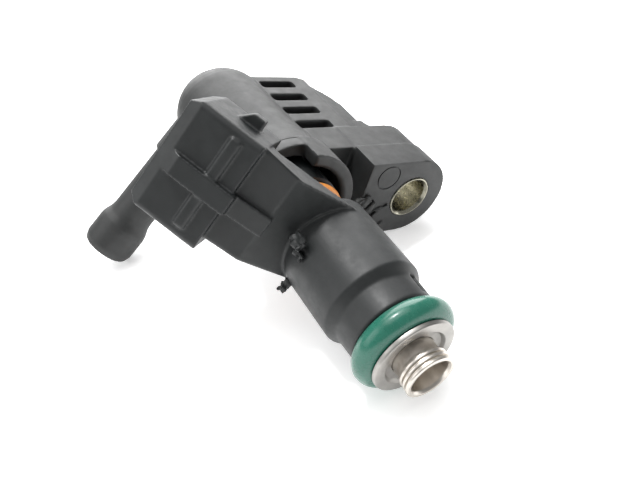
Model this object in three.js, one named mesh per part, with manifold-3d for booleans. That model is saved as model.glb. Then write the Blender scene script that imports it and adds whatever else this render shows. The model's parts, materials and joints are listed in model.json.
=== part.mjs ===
// Fuel injector with its feed cap: a solenoid injector plugged into a moulded cap
// that has a hose barb and a bolt boss. Millimetres. It lies at rest on the plane z = 0.
// Inside the "along" group +Z runs from the nozzle tip to the feed cap.
import * as THREE from 'three';
import { mergeVertices } from 'three/addons/utils/BufferGeometryUtils.js';
import Module from 'manifold-3d';

const wasm = await Module();
wasm.setup();

// ---- fits ----
const seatGap = 0.05; // between pieces that are pressed or bonded together
const runningGap = 0.06; // between pieces that slide on each other
const faceGap = 0.1; // between faces that stand end to end
const cutMargin = 2; // how far a cutter reaches past the piece it cuts
const overallReach = 80; // longer than the whole injector

// ---- mesh fineness ----
const roundSides = 40; // sides of the large round pieces
const smallSides = 28; // sides of the small round pieces
const ringSides = 12; // sides of a seal ring's own section
const portSides = 12; // sides of the smallest holes
const arcSteps = 24; // sides of a half round outline
const sliver = 0.004; // edges shorter than this are folded away after a cut

// ---- nozzle ----
const lipRadius = 3.48;
const nozzleNeckRadius = 3.0;
const nozzleBoreRadius = 2.66;
const lipEnds = 0.55; // length of the lip, and of each ring behind it
const lipEase = 0.08; // softened edge of a ring
const lipGroove = 0.3;
const grooveLong = 0.12;
const lipRings = 3;
const ringStep = 0.06; // each ring is this much smaller than the one before
const mouthFlare = 0.25; // the bore opens this much at the tip
const plateDepth = 3.6; // nozzle tip to the orifice plate

// ---- lower seal ----
const sealSection = 1.765; // radius of the seal ring's own section
const sealRingRadius = 5.525; // axis to the middle of the section
const washerRadius = 5.88;
const washerFront = 3.2;
const washerThick = 0.72;
const washerEdge = 0.12;
const washerDish = 0.55; // depth of the sunk middle
const washerDishRadius = 4.4;

// ---- overmould ----
const sealGroove = washerFront + washerThick + seatGap; // nozzle tip to the seal's seat
const noseStart = sealGroove + 2 * sealSection + seatGap;
const noseRadius = 6.3;
const noseChamfer = 0.3;
const shoulderStart = 11.5;
const shoulderEnd = 12.45;
const barrelRadius = 7.25;
const barrelTop = 26.2;
const barrelChamfer = 0.4;
const stubRadius = 5.7; // smaller top that carries the dust ring
const stubTop = 29.4;
const notchStart = noseStart + 0.85;
const gateNotch = { wide: 1.0, from: notchStart, to: 11.3, deep: 0.65, turn: -57 }; // under the shoulder

// ---- connector ----
const plugTurn = 205; // direction of the connector round the axis, degrees
const plugLean = 41; // angle of the connector to the axis, degrees
const plugReach = 22.98; // axis to the front edge of the under face
const plugHeight = 34.33; // nozzle tip to the front edge of the under face
const shellWide = 16.3;
const shellThick = 10.6;
const shellLong = 8.9;
const shellWall = 1.4;
const shellBack = 1.5;
const shellBevel = 0.8;
const mouthRim = { from: 0.2, long: 1.7, inset: 1.0 }; // sloped rim round the mouth
const socketBevel = 0.5;
const spineWide = 2.9;
const spineHigh = 0.8;
const spineOffset = 0.25;
const bandWide = 1.1;
const bandHigh = 0.5;
const bandBack = 5.65; // mouth to the cross bands
const bandInset = 1.2; // from the shell's sides to the ends of the bands
const latch = { from: 3.1, ramp: 4.8, to: 6.5, near: 4.9, far: 6.8, high: 1.6 };
const neckNear = 7.2; // axis to the neck's side that faces the boss
const neckFar = 6.4;
const neckFlare = 11.0; // axis to where the near side starts to widen to the shell
const neckFoot = 22.8; // nozzle tip to where the neck leaves the barrel
const neckKnee = { out: 12.2, up: 24.9 };
const neckBack = 7.0; // how far up the shell's back wall the neck reaches
const neckCrook = { out: 5.5, up: 26.6 };
const bladeWide = 1.5;
const bladeThick = 0.8;
const bladePitch = 5.0;
const bladeProud = 5.4; // length of a blade in front of the socket floor
const bladeRoot = 2.4; // length of a blade inside the neck

// ---- valve and magnet ----
const seatOuter = nozzleBoreRadius - seatGap;
const plateThick = 0.2;
const sprayHole = 0.16;
const sprayCircle = 0.55;
const seatLong = 3.4;
const seatThroat = 0.9;
const seatConeStart = 0.7; // bottom of the seat to its cone
const ballRadius = 1.75;
const ballGuideGap = 0.07;
const needleRadius = 1.5;
const needleBore = 0.9;
const needleTop = 15.0;
const needlePort = { radius: 0.45, up: 1.2, pitch: 1.6 }; // cross holes that let fuel out
const needleRoom = 0.5; // space between the needle and the nozzle body
const armatureRadius = 2.94;
const armatureLedge = 0.4;
const armatureBottom = 13.2;
const coreFace = 18.2; // lower face of the fixed core
const valveLift = 0.1;
const guideBore = armatureRadius + runningGap;
const tubeOuter = 4.2; // steel tube inside the coil
const bodyTop = 16.0;
const bodyStep = noseStart + 0.55; // where the nozzle body widens
const guideBottom = armatureBottom - 1.2;
const spacerTop = 20.0;
const coreBore = 1.6;
const inletOuter = 3.4;
const inletTop = 43.2;
const inletLip = 5.4;
const inletLipThick = 1.1;
const inletLipSlope = 0.4;
const filterRoom = 0.75; // space round the filter
const bobbinWall = 0.45;
const bobbinFlange = 0.7;
const coilBottom = 13.9;
const coilTop = 23.4;
const coverWall = 0.7; // plastic over the magnet housing
const housingOuter = barrelRadius - coverWall - seatGap;
const housingWall = 0.65;
const housingInner = housingOuter - housingWall;
const coilOuter = housingInner - faceGap;
const housingBottom = 13.0;
const housingTop = 24.4;
const fluxWasherThick = 1.0;
const springWire = 0.2;
const springRadius = 1.15;
const springTurns = 7;
const stepsPerTurn = 9;
const sleeveLong = 6.5;
const sleeveBore = 0.8;
const springTop = 24.4;
const filterLong = 7.0;
const filterRim = 2.7;
const filterBody = 1.35;
const filterWall = 0.35;
const filterRimDepth = 0.9;
const filterRimTop = 0.2;

// ---- upper rings ----
const dustRingSection = 1.3;
const dustRingRadius = inletOuter + seatGap + dustRingSection;
const dustRingHeight = stubTop + seatGap + dustRingSection;
const upperSealHeight = 39.6;
const upperSealSection = 1.9;
const upperSealRadius = inletOuter + faceGap + upperSealSection;
const spacerRingRadius = 6.2;
const spacerRingTop = upperSealHeight - upperSealSection - faceGap;

// ---- feed cap ----
const cupBore = upperSealRadius + upperSealSection + faceGap;
const cupLead = 0.5; // chamfer that leads the seal into the cup
const cupOutline = [[cupBore + 1.9, 36.0], [cupBore + 1.65, 38.2], [cupBore + 1.05, 43.0]]; // radius, height
const capRadius = 8.0;
const mouthHeight = cupOutline[0][1];
const cupDepth = 9.2;
const cupConeLong = 1.2;
const collarRadius = cupBore + 2.1;
const collarDrop = 3.4; // how far the half collar stands below the mouth
const collarOverlap = 3; // how far it runs up inside the cap's wall
const collarHalfAngle = 88; // each way from the boss, degrees
const domeCentre = 59.5;
const domeRadius = 8.1;
const chamberRadius = 4.2;
const chamberTop = 63.6;
const chamberChamfer = 1.5;
const webHigh = 6.65; // half height of the web
const webEdge = 14.0; // axis to the web's crease
const webBottom = 38.2;
const webTop = 61.0;
const slopeEdge = 19.9;
const slopeDrop = 1.05;
const webCurve = { foot: 0.3, inner: 2.0, lower: 1.5, outer: 1.2, upper: 6.0, corner: 1.5 };
const pocketFrom = 4.9;
const pocketTo = 11.6;
const pocketHigh = 2.1;
const pocketPitch = 4.3;
const pocketFirst = 45.4;
const pocketCount = 4;
const pocketDeep = 5.6;
const bossOut = 21.64; // axis to the bolt's axis
const bossRadius = 7.05;
const bossBottom = 32.5;
const bossTop = 44.0;
const bossBlockFrom = 11.4;
const bushOuter = 3.74;
const bushInner = 3.21;
const bushProud = 0.15;

// ---- hose barb ----
const barbTurn = 122.8; // direction of the barb round the axis, degrees
const barbDrop = 3.0; // how far it leans towards the nozzle, degrees
const barbHeight = 62.3;
const barbLong = 33.0;
const barbCollarRadius = 4.25;
const barbCollarEnd = 12.0;
const barbTubeRadius = 3.78;
const barbBulgeRadius = 4.5;
const barbBulgeStart = 25.5;
const barbBulgeFull = 27.5;
const barbTipRadius = 4.1;
const barbBore = 2.3;

// ---- how the part lies ----
// It rests on the lower seal ring, the tip of the barb and the boss.
const lieRoll = 21.21; // about the injector's axis, degrees
const liePitch = 15.84; // rise of the axis towards the cap, degrees

const rad = THREE.MathUtils.degToRad;

// A closed solid from a three.js geometry.
function solid(geometry) {
  const bare = geometry.clone();
  bare.deleteAttribute('normal');
  bare.deleteAttribute('uv');
  const welded = mergeVertices(bare, 1e-5);
  return new wasm.Manifold(new wasm.Mesh({
    numProp: 3,
    vertProperties: new Float32Array(welded.attributes.position.array),
    triVerts: new Uint32Array(welded.index.array),
  }));
}

function geometryOf(manifold) {
  const mesh = manifold.simplify(sliver).getMesh();
  const geometry = new THREE.BufferGeometry();
  geometry.setAttribute('position', new THREE.BufferAttribute(new Float32Array(mesh.vertProperties), 3));
  geometry.setIndex(new THREE.BufferAttribute(new Uint32Array(mesh.triVerts), 1));
  geometry.computeVertexNormals();
  return geometry;
}

// A turned piece about +Z. The points are [radius, height], from the bottom outside upwards.
function turned(points, sides = roundSides) {
  const profile = points.map(([radius, height]) => new THREE.Vector2(radius, height));
  const geometry = new THREE.LatheGeometry(profile, sides);
  geometry.rotateX(Math.PI / 2);
  return geometry;
}

function disc(radius, from, to, sides = roundSides) {
  return turned([[0, from], [radius, from], [radius, to], [0, to]], sides);
}

function sleeve(inner, outer, from, to, sides = roundSides) {
  return turned([[inner, from], [outer, from], [outer, to], [inner, to], [inner, from]], sides);
}

// A ring of round section about +Z.
function roundRing(ringRadius, section, height) {
  const points = [];
  for (let step = 0; step <= ringSides; step += 1) {
    const angle = (step / ringSides) * 2 * Math.PI;
    points.push([ringRadius + section * Math.cos(angle), height + section * Math.sin(angle)]);
  }
  return turned(points);
}

function block(from, to) {
  const size = to.map((value, index) => value - from[index]);
  const geometry = new THREE.BoxGeometry(...size);
  geometry.translate(...from.map((value, index) => value + size[index] / 2));
  return geometry;
}

// A flat outline pulled along +Z between two heights.
function prism(points, from, to) {
  const shape = new THREE.Shape(points.map(([x, y]) => new THREE.Vector2(x, y)));
  const geometry = new THREE.ExtrudeGeometry(shape, { depth: to - from, bevelEnabled: false });
  geometry.translate(0, 0, from);
  return geometry;
}

// Puts a geometry drawn on local axes onto the given directions and origin.
function placed(geometry, xAxis, yAxis, zAxis, origin) {
  const matrix = new THREE.Matrix4().makeBasis(xAxis, yAxis, zAxis);
  matrix.setPosition(origin);
  geometry.applyMatrix4(matrix);
  return geometry;
}

function material(colour, roughness, metalness) {
  return new THREE.MeshStandardMaterial({ color: colour, roughness, metalness });
}

const blackPlastic = () => material('#4b4f50', 0.55, 0);
const capPlastic = () => material('#5c6060', 0.6, 0);
const steel = () => material('#b9b4ae', 0.3, 1);
const magnetSteel = () => material('#8d8f92', 0.45, 1);
const zincSteel = () => material('#b5a98c', 0.35, 1);
const greenRubber = () => material('#3f9680', 0.45, 0);
const orangeRubber = () => material('#d98a44', 0.5, 0);
const darkRubber = () => material('#2a2b2c', 0.6, 0);
const copper = () => material('#b56a3c', 0.35, 1);
const tin = () => material('#c9c7bd', 0.3, 1);
const bobbinPlastic = () => material('#c9c2ae', 0.6, 0);
const brass = () => material('#b8964f', 0.35, 1);

const along = new THREE.Group();
along.name = 'along';

function add(name, geometry, surface) {
  const mesh = new THREE.Mesh(geometry, surface);
  mesh.name = name;
  along.add(mesh);
}

// ---- connector directions ----
const plugOut = new THREE.Vector3(Math.cos(rad(plugTurn)), Math.sin(rad(plugTurn)), 0);
const plugSide = new THREE.Vector3(-plugOut.y, plugOut.x, 0);
const axisUp = new THREE.Vector3(0, 0, 1);
const plugAim = axisUp.clone().multiplyScalar(Math.cos(rad(plugLean)))
  .addScaledVector(plugOut, Math.sin(rad(plugLean)));
const plugUnder = plugOut.clone().multiplyScalar(Math.cos(rad(plugLean)))
  .addScaledVector(axisUp, -Math.sin(rad(plugLean)));
const plugEdge = plugOut.clone().multiplyScalar(plugReach).addScaledVector(axisUp, plugHeight);

// Local axes of the connector: x across, y out of its under face, z out of its mouth.
function inPlug(geometry) {
  const across = plugUnder.clone().cross(plugAim);
  return placed(geometry, across, plugUnder, plugAim, plugEdge);
}

// Local axes of the neck: x out from the axis, y up the axis, z across.
function inNeck(geometry) {
  return placed(geometry, plugOut, axisUp, plugOut.clone().cross(axisUp), new THREE.Vector3());
}

// A box whose four long edges are cut back by a bevel.
function bevelledPrism(halfWide, low, high, bevel, from, to) {
  return prism([
    [-halfWide + bevel, low], [halfWide - bevel, low], [halfWide, low + bevel], [halfWide, high - bevel],
    [halfWide - bevel, high], [-halfWide + bevel, high], [-halfWide, high - bevel], [-halfWide, low + bevel],
  ], from, to);
}

// Cuts the shell's front back to the sloped rim, seen from the side or from above.
function rimOutline(low, high) {
  const front = mouthRim.from + mouthRim.long;
  return [
    [low, -shellLong], [high, -shellLong], [high, mouthRim.from], [high - mouthRim.inset, front],
    [low + mouthRim.inset, front], [low, mouthRim.from],
  ];
}

function connectorShell() {
  const half = shellWide / 2;
  const front = mouthRim.from + mouthRim.long;
  const tube = solid(inPlug(bevelledPrism(half, -shellThick, 0, shellBevel, -shellLong, front)));
  const fromAbove = prism(rimOutline(-half, half), 0, shellThick);
  fromAbove.rotateX(Math.PI / 2);
  const fromSide = prism(rimOutline(-shellThick, 0), 0, shellWide);
  fromSide.rotateX(Math.PI / 2);
  fromSide.rotateZ(Math.PI / 2);
  fromSide.translate(-half, 0, 0);
  const shell = tube.intersect(solid(inPlug(fromAbove))).intersect(solid(inPlug(fromSide)));
  const socket = bevelledPrism(half - shellWall, shellWall - shellThick, -shellWall, socketBevel,
    shellBack - shellLong, front + cutMargin);
  const spine = block([spineOffset - spineWide / 2, -shellBevel, -shellLong],
    [spineOffset + spineWide / 2, spineHigh, 0]);
  const band = block([bandInset - half, -shellBevel, -bandBack - bandWide / 2],
    [half - bandInset, bandHigh, bandWide / 2 - bandBack]);
  return {
    body: shell.add(solid(inPlug(spine))).add(solid(inPlug(band))).add(latchNose()),
    socket: solid(inPlug(socket)),
  };
}

// The latch nose is a wedge on the connector's narrow side.
function latchNose() {
  const side = -shellWide / 2;
  const wedge = prism([
    [side + shellWall / 2, -latch.to], [side - latch.high, -latch.to], [side - latch.high, -latch.ramp],
    [side, -latch.from], [side + shellWall / 2, -latch.from],
  ], latch.near, latch.far);
  wedge.rotateX(Math.PI / 2);
  return solid(inPlug(wedge));
}

// A point on the connector, as distance from the axis and height: back from the under face's
// front edge, and in from the under face.
function plugPoint(back, under) {
  return [
    plugReach - back * Math.sin(rad(plugLean)) - under * Math.cos(rad(plugLean)),
    plugHeight - back * Math.cos(rad(plugLean)) + under * Math.sin(rad(plugLean)),
  ];
}

function neck() {
  const inside = shellBack * 0.6; // how far the neck runs into the shell's back wall
  const outline = [
    [0, neckFoot], [neckKnee.out, neckKnee.up], plugPoint(shellLong, shellBevel),
    plugPoint(shellLong - inside, shellBevel), plugPoint(shellLong - inside, neckBack),
    plugPoint(shellLong, neckBack), [neckCrook.out, neckCrook.up], [0, neckCrook.up - 1],
  ];
  const side = solid(inNeck(prism(outline, -shellWide / 2, neckFar)));
  const flareEnd = plugPoint(shellLong, shellBevel)[0];
  const plan = prism([
    [0, -neckNear], [neckFlare, -neckNear], [flareEnd, shellBevel / 2 - shellWide / 2],
    [flareEnd + cutMargin, shellBevel / 2 - shellWide / 2], [flareEnd + cutMargin, neckFar], [0, neckFar],
  ], -overallReach, 0);
  const across = plugOut.clone().cross(axisUp);
  placed(plan, plugOut, across, axisUp.clone().negate(), new THREE.Vector3());
  return side.intersect(solid(plan)).add(spineTail());
}

// The spine bends at the shell's back and runs down the neck to its knee.
function spineTail() {
  const [kneeOut, kneeUp] = [neckKnee.out, neckKnee.up];
  const [startOut, startUp] = plugPoint(shellLong - shellBevel / 2, -spineHigh);
  const outline = [
    [kneeOut - spineHigh, kneeUp + spineHigh], [kneeOut + spineHigh / 2, kneeUp - spineHigh / 2],
    [startOut, startUp], plugPoint(shellLong - shellBevel / 2, spineWide),
  ];
  return solid(inNeck(prism(outline, spineOffset - spineWide / 2, spineOffset + spineWide / 2)));
}

function overmould() {
  const stem = sealRingRadius - sealSection - seatGap;
  const outer = solid(turned([
    [0, sealGroove], [stem, sealGroove], [stem, noseStart], [noseRadius - noseChamfer, noseStart],
    [noseRadius, noseStart + noseChamfer], [noseRadius, shoulderStart], [barrelRadius, shoulderEnd],
    [barrelRadius, barrelTop - barrelChamfer], [barrelRadius - barrelChamfer, barrelTop],
    [stubRadius, barrelTop], [stubRadius, stubTop], [0, stubTop],
  ]));
  const bodyBore = nozzleNeckRadius + seatGap;
  const tubeBore = tubeOuter + seatGap;
  const housingBore = housingOuter + seatGap;
  const inletBore = inletOuter + seatGap;
  const coverStep = housingTop + fluxWasherThick + faceGap;
  const bore = solid(turned([
    [0, sealGroove - cutMargin], [bodyBore, sealGroove - cutMargin], [bodyBore, bodyStep],
    [tubeBore, bodyStep], [tubeBore, housingBottom - faceGap], [housingBore, housingBottom - faceGap],
    [housingBore, coverStep], [inletBore, coverStep], [inletBore, stubTop + cutMargin],
    [0, stubTop + cutMargin],
  ]));
  const notch = block([noseRadius - gateNotch.deep, -gateNotch.wide / 2, gateNotch.from],
    [noseRadius + cutMargin, gateNotch.wide / 2, gateNotch.to]);
  notch.rotateZ(rad(gateNotch.turn));
  const shell = connectorShell();
  let whole = outer.add(neck()).add(shell.body).subtract(shell.socket).subtract(bore).subtract(solid(notch));
  for (const side of [-1, 1]) {
    whole = whole.subtract(solid(bladeGeometry(side, seatGap)));
  }
  return geometryOf(whole);
}

// A flat contact blade that stands in the socket and runs back into the moulding.
function bladeGeometry(side, grow) {
  const middle = side * bladePitch / 2;
  const height = -shellThick / 2;
  const halfWide = bladeWide / 2 + grow;
  const halfThick = bladeThick / 2 + grow;
  const front = shellBack - shellLong + bladeProud + grow;
  return inPlug(block(
    [middle - halfWide, height - halfThick, -shellLong - bladeRoot - grow],
    [middle + halfWide, height + halfThick, front],
  ));
}

function nozzleBody() {
  const profile = [[nozzleBoreRadius + mouthFlare, 0]];
  let height = 0;
  for (let ring = 0; ring < lipRings; ring += 1) {
    const radius = lipRadius - ring * ringStep;
    profile.push([radius, height + lipEase], [radius, height + lipEnds - lipEase]);
    profile.push([radius - lipGroove, height + lipEnds], [radius - lipGroove, height + lipEnds + grooveLong]);
    height += lipEnds + grooveLong;
  }
  const seatTop = plateDepth + plateThick + seatLong + faceGap;
  const valveBore = needleRadius + needleRoom;
  profile.push([nozzleNeckRadius, height], [nozzleNeckRadius, bodyStep + faceGap]);
  profile.push([tubeOuter, bodyStep + faceGap]);
  profile.push([tubeOuter, bodyTop], [guideBore, bodyTop], [guideBore, guideBottom]);
  profile.push([valveBore, guideBottom - 1], [valveBore, seatTop + needleRoom]);
  profile.push([nozzleBoreRadius, seatTop], [nozzleBoreRadius, mouthFlare]);
  profile.push([nozzleBoreRadius + mouthFlare, 0]);
  return turned(profile);
}

function orificePlate() {
  let plate = solid(disc(seatOuter, plateDepth, plateDepth + plateThick, smallSides));
  for (let hole = 0; hole < 4; hole += 1) {
    const cutter = disc(sprayHole, plateDepth - cutMargin, plateDepth + cutMargin, portSides);
    const turn = hole * Math.PI / 2;
    cutter.translate(sprayCircle * Math.cos(turn), sprayCircle * Math.sin(turn), 0);
    plate = plate.subtract(solid(cutter));
  }
  return geometryOf(plate);
}

const seatFloor = plateDepth + plateThick + seatGap;
const coneStart = seatFloor + seatConeStart;
const guideRadius = ballRadius + ballGuideGap;
const ballCentre = coneStart - seatThroat + (ballRadius + seatGap) * Math.SQRT2;

function valveSeat() {
  return turned([
    [seatThroat, seatFloor], [seatOuter, seatFloor], [seatOuter, seatFloor + seatLong - seatGap],
    [guideRadius, seatFloor + seatLong - seatGap], [guideRadius, coneStart + guideRadius - seatThroat],
    [seatThroat, coneStart], [seatThroat, seatFloor],
  ], smallSides);
}

function valveBall() {
  const ball = new THREE.SphereGeometry(ballRadius, smallSides, 14);
  ball.rotateX(Math.PI / 2);
  ball.translate(0, 0, ballCentre);
  return geometryOf(solid(ball));
}

function needleTube() {
  const bottom = ballCentre + ballRadius + seatGap;
  let tube = solid(sleeve(needleBore, needleRadius, bottom, needleTop, smallSides));
  for (const side of [0, 1]) {
    const long = 2 * needleRadius + cutMargin;
    const hole = new THREE.CylinderGeometry(needlePort.radius, needlePort.radius, long, portSides);
    hole.rotateZ(side * Math.PI / 2);
    hole.translate(0, 0, bottom + needlePort.up + side * needlePort.pitch);
    tube = tube.subtract(solid(hole));
  }
  return geometryOf(tube);
}

const armatureTop = coreFace - valveLift - seatGap;

function armature() {
  const ledge = needleTop + seatGap;
  const tubeSeat = needleRadius + seatGap;
  return turned([
    [tubeSeat, armatureBottom], [armatureRadius, armatureBottom], [armatureRadius, armatureTop],
    [coreBore, armatureTop], [coreBore, ledge + armatureLedge], [needleBore, ledge + armatureLedge],
    [needleBore, ledge], [tubeSeat, ledge], [tubeSeat, armatureBottom],
  ], smallSides);
}

function returnSpring() {
  const bottom = needleTop + seatGap + armatureLedge + springWire + seatGap;
  const top = springTop - springWire - seatGap;
  const points = [];
  const steps = springTurns * stepsPerTurn;
  for (let step = 0; step <= steps; step += 1) {
    const angle = (step / steps) * springTurns * 2 * Math.PI;
    points.push(new THREE.Vector3(springRadius * Math.cos(angle), springRadius * Math.sin(angle),
      bottom + (top - bottom) * (step / steps)));
  }
  const section = new THREE.Shape();
  section.absarc(0, 0, springWire, 0, 2 * Math.PI, false);
  const path = new THREE.CatmullRomCurve3(points);
  return geometryOf(solid(new THREE.ExtrudeGeometry(section, {
    steps, curveSegments: 3, bevelEnabled: false, extrudePath: path,
  })));
}

function spacerSleeve() {
  return sleeve(guideBore, tubeOuter, bodyTop + seatGap, spacerTop, smallSides);
}

function inletTube() {
  const step = coilTop + bobbinFlange + faceGap;
  const filterSeat = filterRim + seatGap;
  const filterBore = filterBody + filterRoom;
  const pocketFloor = inletTop - filterLong - filterRoom;
  return turned([
    [coreBore, coreFace], [guideBore - seatGap, coreFace], [guideBore - seatGap, spacerTop + seatGap],
    [tubeOuter, spacerTop + seatGap], [tubeOuter, step], [inletOuter, step],
    [inletOuter, inletTop - inletLipThick - inletLipSlope], [inletLip, inletTop - inletLipThick],
    [inletLip, inletTop], [filterSeat, inletTop], [filterSeat, inletTop - filterRimDepth - faceGap],
    [filterBore, inletTop - filterRimDepth - inletLipSlope - faceGap], [filterBore, pocketFloor],
    [coreBore, pocketFloor - filterRoom], [coreBore, coreFace],
  ]);
}

function bobbin() {
  const inner = tubeOuter + seatGap;
  const drum = inner + bobbinWall;
  return turned([
    [inner, coilBottom - bobbinFlange], [coilOuter, coilBottom - bobbinFlange], [coilOuter, coilBottom],
    [drum, coilBottom], [drum, coilTop], [coilOuter, coilTop], [coilOuter, coilTop + bobbinFlange],
    [inner, coilTop + bobbinFlange], [inner, coilBottom - bobbinFlange],
  ], smallSides);
}

function winding() {
  const drum = tubeOuter + bobbinWall + 2 * seatGap;
  return sleeve(drum, coilOuter, coilBottom + seatGap, coilTop - seatGap, smallSides);
}

function magnetHousing() {
  return sleeve(housingInner, housingOuter, housingBottom, housingTop, smallSides);
}

function fluxWasher() {
  const bottom = housingTop + seatGap;
  return sleeve(inletOuter + seatGap, housingOuter, bottom, housingTop + fluxWasherThick, smallSides);
}

function adjustingSleeve() {
  return sleeve(sleeveBore, coreBore - seatGap, springTop, springTop + sleeveLong, smallSides);
}

function inletFilter() {
  const bottom = inletTop - filterLong;
  const rimBottom = inletTop - filterRimDepth;
  const rimTop = inletTop - filterRimTop;
  const hollow = filterBody - filterWall;
  return turned([
    [0, bottom], [filterBody, bottom], [filterBody, rimBottom], [filterRim, rimBottom],
    [filterRim, rimTop], [hollow, rimTop], [hollow, bottom + filterWall], [0, bottom + filterWall],
  ], smallSides);
}

function sealWasher() {
  const back = washerFront + washerThick;
  const hole = nozzleNeckRadius + seatGap;
  return turned([
    [hole, washerFront + washerDish], [washerDishRadius - washerEdge, washerFront + washerDish],
    [washerDishRadius, washerFront], [washerRadius - washerEdge, washerFront],
    [washerRadius, washerFront + washerEdge], [washerRadius, back], [hole, back],
    [hole, washerFront + washerDish],
  ]);
}

function lowerSeal() {
  const back = washerFront + washerThick;
  return roundRing(sealRingRadius, sealSection, back + seatGap + sealSection + seatGap / 2);
}

function dustRing() {
  return roundRing(dustRingRadius, dustRingSection, dustRingHeight);
}

function spacerRing() {
  const bottom = dustRingHeight + dustRingSection + faceGap;
  return sleeve(inletOuter + seatGap, spacerRingRadius, bottom, spacerRingTop, smallSides);
}

function upperSeal() {
  return roundRing(upperSealRadius, upperSealSection, upperSealHeight);
}

// ---- feed cap ----
const barbOut = new THREE.Vector3(
  Math.cos(rad(barbTurn)) * Math.cos(rad(barbDrop)), Math.sin(rad(barbTurn)) * Math.cos(rad(barbDrop)),
  -Math.sin(rad(barbDrop)),
);

function onBarb(geometry) {
  const across = new THREE.Vector3(0, 0, 1).cross(barbOut).normalize();
  const root = axisUp.clone().multiplyScalar(barbHeight);
  return placed(geometry, across, barbOut.clone().cross(across), barbOut, root);
}

function capShell() {
  const profile = [[0, mouthHeight], ...cupOutline, [capRadius, domeCentre]];
  const arcs = 10;
  for (let step = 1; step <= arcs; step += 1) {
    const angle = (step / arcs) * Math.PI / 2;
    profile.push([capRadius * Math.cos(angle), domeCentre + domeRadius * Math.sin(angle)]);
  }
  profile[profile.length - 1][0] = 0;
  return solid(turned(profile));
}

function halfCollar() {
  const outline = [];
  const steps = arcSteps;
  for (let step = 0; step <= steps; step += 1) {
    const angle = rad(-collarHalfAngle + (2 * collarHalfAngle * step) / steps);
    outline.push([collarRadius * Math.cos(angle), collarRadius * Math.sin(angle)]);
  }
  outline.push([0, 0]);
  return solid(prism(outline, mouthHeight - collarDrop, mouthHeight + collarOverlap));
}

function web() {
  const low = -webHigh;
  const outline = [
    [0, low], [webEdge, low], [slopeEdge, low + slopeDrop],
    [slopeEdge, -low - slopeDrop], [webEdge, -low], [0, -low],
  ];
  const plate = solid(prism(outline, webBottom, webTop));
  // The outer side falls back from the boss to the dome in a curve.
  const side = new THREE.Shape();
  side.moveTo(slopeEdge + cutMargin, bossTop);
  side.lineTo(slopeEdge + webCurve.foot, bossTop + webCurve.foot);
  side.bezierCurveTo(slopeEdge - webCurve.inner, bossTop + webCurve.lower, slopeEdge - webCurve.outer,
    webTop - webCurve.upper, webEdge + webCurve.corner, webTop - webCurve.corner);
  side.lineTo(webEdge - webCurve.corner, webTop + cutMargin);
  side.lineTo(slopeEdge + cutMargin, webTop + cutMargin);
  side.closePath();
  const cutter = new THREE.ExtrudeGeometry(side, {
    depth: 4 * webHigh, bevelEnabled: false, curveSegments: 6,
  });
  cutter.rotateX(Math.PI / 2);
  cutter.translate(0, 2 * webHigh, 0);
  return plate.subtract(solid(cutter));
}

function boss() {
  const outline = [[bossBlockFrom, -bossRadius]];
  const steps = arcSteps;
  for (let step = 0; step <= steps; step += 1) {
    const angle = -Math.PI / 2 + (step / steps) * Math.PI;
    outline.push([bossOut + bossRadius * Math.cos(angle), bossRadius * Math.sin(angle)]);
  }
  outline.push([bossBlockFrom, bossRadius]);
  return solid(prism(outline, bossBottom, bossTop));
}

function barbSolid() {
  return solid(onBarb(turned([
    [0, 0], [barbCollarRadius, 0], [barbCollarRadius, barbCollarEnd], [barbTubeRadius, barbCollarEnd + 0.4],
    [barbTubeRadius, barbBulgeStart], [barbBulgeRadius, barbBulgeFull], [barbBulgeRadius, barbLong - 1.2],
    [barbTipRadius, barbLong], [0, barbLong],
  ])));
}

function feedCap() {
  const collarEnd = mouthHeight - collarDrop;
  const cupTop = mouthHeight + cupDepth;
  const cup = solid(turned([
    [0, collarEnd - cutMargin], [cupBore + cupLead, collarEnd - cutMargin], [cupBore + cupLead, collarEnd],
    [cupBore, collarEnd + cupLead], [cupBore, cupTop], [chamberRadius, cupTop + cupConeLong],
    [chamberRadius, chamberTop - chamberChamfer], [chamberRadius - chamberChamfer, chamberTop],
    [0, chamberTop],
  ]));
  const barbPassage = solid(onBarb(disc(barbBore, 0, barbLong + cutMargin, smallSides)));
  let cap = capShell().add(halfCollar()).add(web()).add(boss()).add(barbSolid());
  cap = cap.subtract(cup).subtract(barbPassage);
  for (let pocket = 0; pocket < pocketCount; pocket += 1) {
    const low = pocketFirst + (pocket - 0.5) * pocketPitch + (pocketPitch - pocketHigh) / 2;
    for (const face of [-1, 1]) {
      const [near, far] = [face * (webHigh - pocketDeep), face * (webHigh + cutMargin)].sort((a, b) => a - b);
      cap = cap.subtract(solid(block([pocketFrom, near, low], [pocketTo, far, low + pocketHigh])));
    }
  }
  const boltHole = disc(bushOuter + seatGap, bossBottom - cutMargin, bossTop + cutMargin);
  boltHole.translate(bossOut, 0, 0);
  return geometryOf(cap.subtract(solid(boltHole)));
}

function bossBush() {
  const bush = sleeve(bushInner, bushOuter, bossBottom - bushProud, bossTop + bushProud);
  bush.translate(bossOut, 0, 0);
  return bush;
}

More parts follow.
